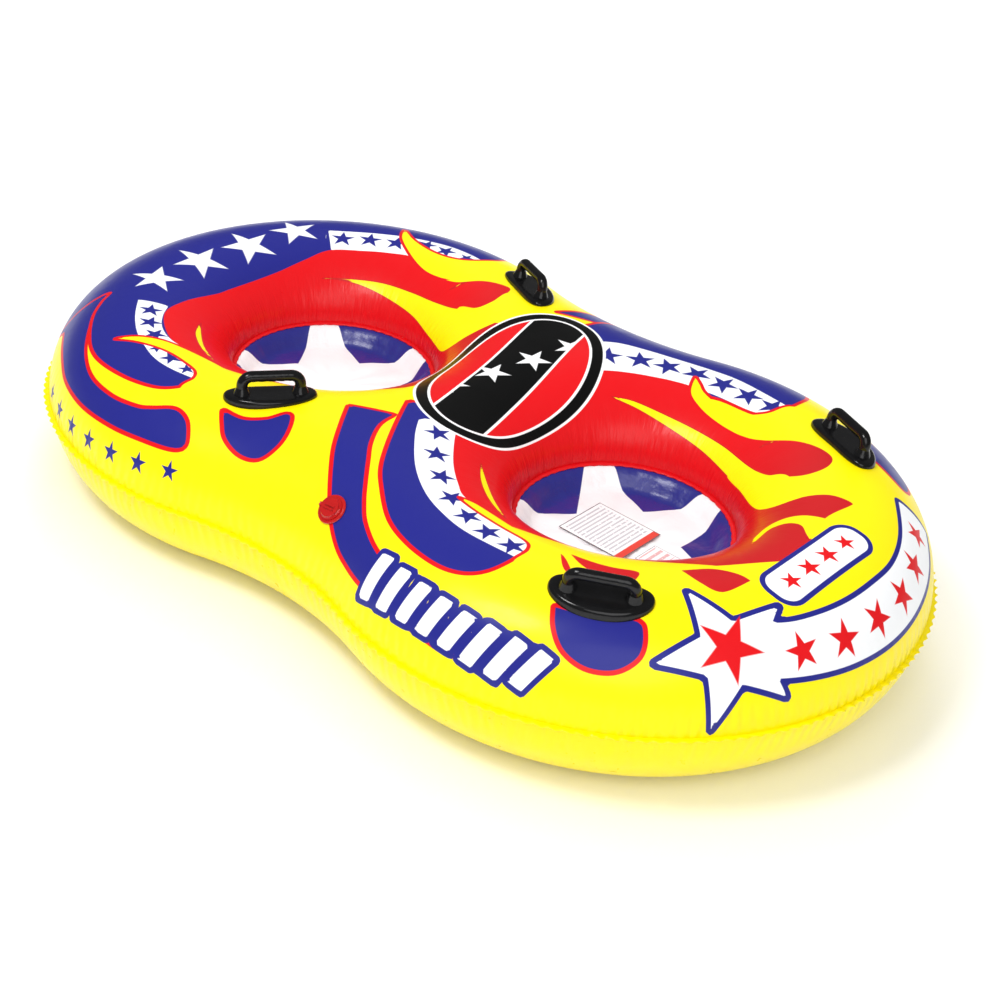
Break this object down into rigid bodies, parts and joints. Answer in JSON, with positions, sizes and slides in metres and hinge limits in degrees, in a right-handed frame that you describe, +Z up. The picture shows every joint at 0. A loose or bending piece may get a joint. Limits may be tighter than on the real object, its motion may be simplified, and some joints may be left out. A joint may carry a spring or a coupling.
{
  "type": "towable tube",
  "caption": "Inflated double-seat towable water tube, peanut outline, sunken seats with sheet floors, moulded grab handles, air valve and tow ring.",
  "frame": {"origin": "middle of the hull, on the plane that the underside rests on", "axes": "+X the way the riders face, along the length; +Y to their left; +Z up"},
  "size_m": [1.384, 0.8438, 0.2801],
  "materials": {
    "hull_vinyl": "printed glossy PVC skin",
    "floor_vinyl": "printed glossy PVC sheet",
    "handle_base_vinyl": "glossy moulded PVC",
    "grip_plastic": "glossy moulded plastic",
    "valve_vinyl": "glossy moulded soft PVC",
    "patch_vinyl": "reinforced PVC patch",
    "webbing": "woven polyester webbing",
    "ring_steel": "polished stainless rod"
  },
  "bodies": {
    "hull": {"top_panel": "hull_vinyl", "bottom_panel": "hull_vinyl", "outer_seam": "hull_vinyl", "front_seat_seam": "hull_vinyl", "rear_seat_seam": "hull_vinyl", "front_floor": "floor_vinyl", "rear_floor": "floor_vinyl", "front_left_handle_base": "handle_base_vinyl", "front_right_handle_base": "handle_base_vinyl", "rear_left_handle_base": "handle_base_vinyl", "rear_right_handle_base": "handle_base_vinyl", "front_left_grip": "grip_plastic", "front_right_grip": "grip_plastic", "rear_left_grip": "grip_plastic", "rear_right_grip": "grip_plastic", "valve_flange": "valve_vinyl", "tow_patch": "patch_vinyl", "tow_strap": "webbing"},
    "neck": {"valve_neck": "valve_vinyl", "valve_strap": "valve_vinyl"},
    "cap": {"valve_cap": "valve_vinyl"},
    "flap": {"valve_flap": "valve_vinyl"},
    "ring": {"tow_ring": "ring_steel"}
  },
  "joints": [
    {"name": "valve_neck_pull", "type": "slide", "parent": "hull", "child": "neck", "axis": [-0.0841, -0.6561, 0.75], "range_m": [0, 0.01]},
    {"name": "valve_cap_hinge", "type": "hinge", "parent": "neck", "child": "cap", "pos_m": [0.05156, -0.34526, 0.21047], "axis": [0.0731, -0.7547, -0.652], "range_deg": [0, 150]},
    {"name": "valve_flap_hinge", "type": "hinge", "parent": "neck", "child": "flap", "pos_m": [0.06023, -0.33031, 0.19413], "axis": [-0.0731, 0.7547, 0.652], "range_deg": [0, 60], "stiffness_Nm_per_rad": 0.002},
    {"name": "tow_ring_swing", "type": "hinge", "parent": "hull", "child": "ring", "pos_m": [-0.6839, 0, 0.06056], "axis": [0, 1, 0], "range_deg": [0, 120]}
  ]
}
